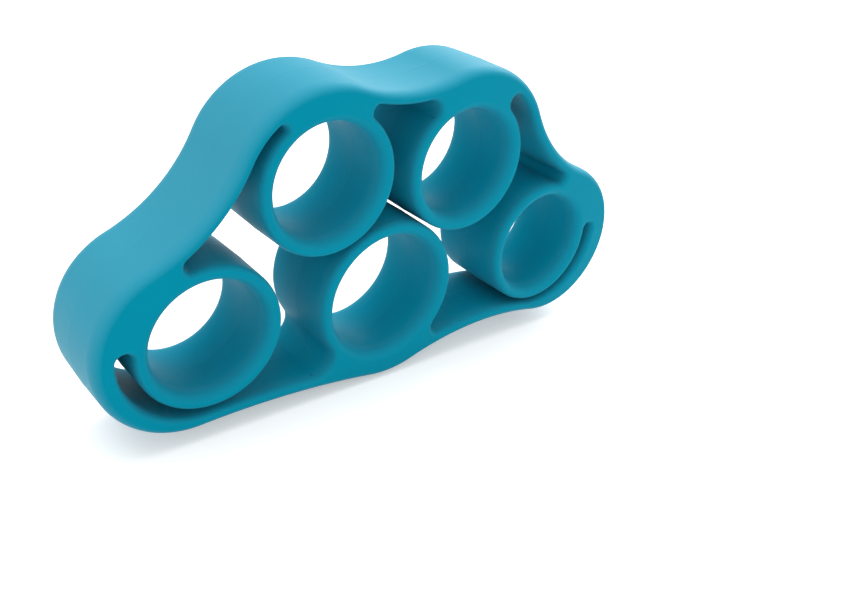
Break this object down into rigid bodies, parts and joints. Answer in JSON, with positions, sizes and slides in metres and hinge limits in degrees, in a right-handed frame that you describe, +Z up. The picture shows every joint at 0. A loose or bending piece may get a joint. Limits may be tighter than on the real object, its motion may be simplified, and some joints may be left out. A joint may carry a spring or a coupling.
{
  "type": "finger stretcher hand exerciser",
  "caption": "Soft silicone hand exerciser: finger rings tied by short necks inside one wavy elastic band, which the opening hand stretches.",
  "frame": {"origin": "on the standing surface, under the middle of the overall length, at mid-depth", "axes": "+X along the row of three rings, from the index finger's to the little finger's; +Z up, from the thumb side to the two upper rings; -Y towards the front face"},
  "size_m": [0.1048, 0.0168, 0.0537],
  "materials": {
    "ring_silicone": "matte moulded silicone",
    "band_silicone": "matte moulded silicone"
  },
  "bodies": {
    "thumb": {"thumb_ring": "ring_silicone", "thumb_neck": "ring_silicone", "thumb_lobe": "band_silicone"},
    "index": {"index_ring": "ring_silicone", "index_neck": "ring_silicone", "index_lobe": "band_silicone", "span_thumb_index": "band_silicone"},
    "middle": {"middle_ring": "ring_silicone", "middle_neck": "ring_silicone", "middle_lobe": "band_silicone", "span_index_middle": "band_silicone"},
    "bridge": {"span_middle_fourth": "band_silicone"},
    "little": {"little_ring": "ring_silicone", "little_neck": "ring_silicone", "little_lobe": "band_silicone", "span_little_thumb": "band_silicone"},
    "fourth": {"fourth_ring": "ring_silicone", "fourth_neck": "ring_silicone", "fourth_lobe": "band_silicone", "span_fourth_little": "band_silicone"}
  },
  "joints": [
    {"name": "thumb_reach", "type": "slide", "parent": "thumb", "child": "index", "axis": [0, 0, 1], "range_m": [0, 0.055], "stiffness_N_per_m": 150, "deforming": ["span_thumb_index"]},
    {"name": "thumb_reach_little_side", "type": "slide", "parent": "thumb", "child": "little", "axis": [0, 0, 1], "range_m": [0, 0.055], "stiffness_N_per_m": 150, "deforming": ["span_little_thumb"]},
    {"name": "finger_spread", "type": "slide", "parent": "index", "child": "middle", "axis": [-0.3304, 0, 0.9439], "range_m": [0, 0.012], "stiffness_N_per_m": 700, "deforming": ["span_index_middle"]},
    {"name": "bridge_stretch", "type": "slide", "parent": "middle", "child": "bridge", "axis": [1, 0, 0], "range_m": [0, 0.00793], "stiffness_N_per_m": 700, "deforming": ["span_middle_fourth"]},
    {"name": "fourth_spread", "type": "slide", "parent": "little", "child": "fourth", "axis": [0.3304, 0, 0.9439], "range_m": [0, 0.012], "stiffness_N_per_m": 700, "deforming": ["span_fourth_little"]}
  ],
  "couplings": [
    {"joint": "thumb_reach_little_side", "follows": "thumb_reach", "ratio": 1},
    {"joint": "bridge_stretch", "follows": "finger_spread", "ratio": 0.6607},
    {"joint": "fourth_spread", "follows": "finger_spread", "ratio": 1}
  ]
}
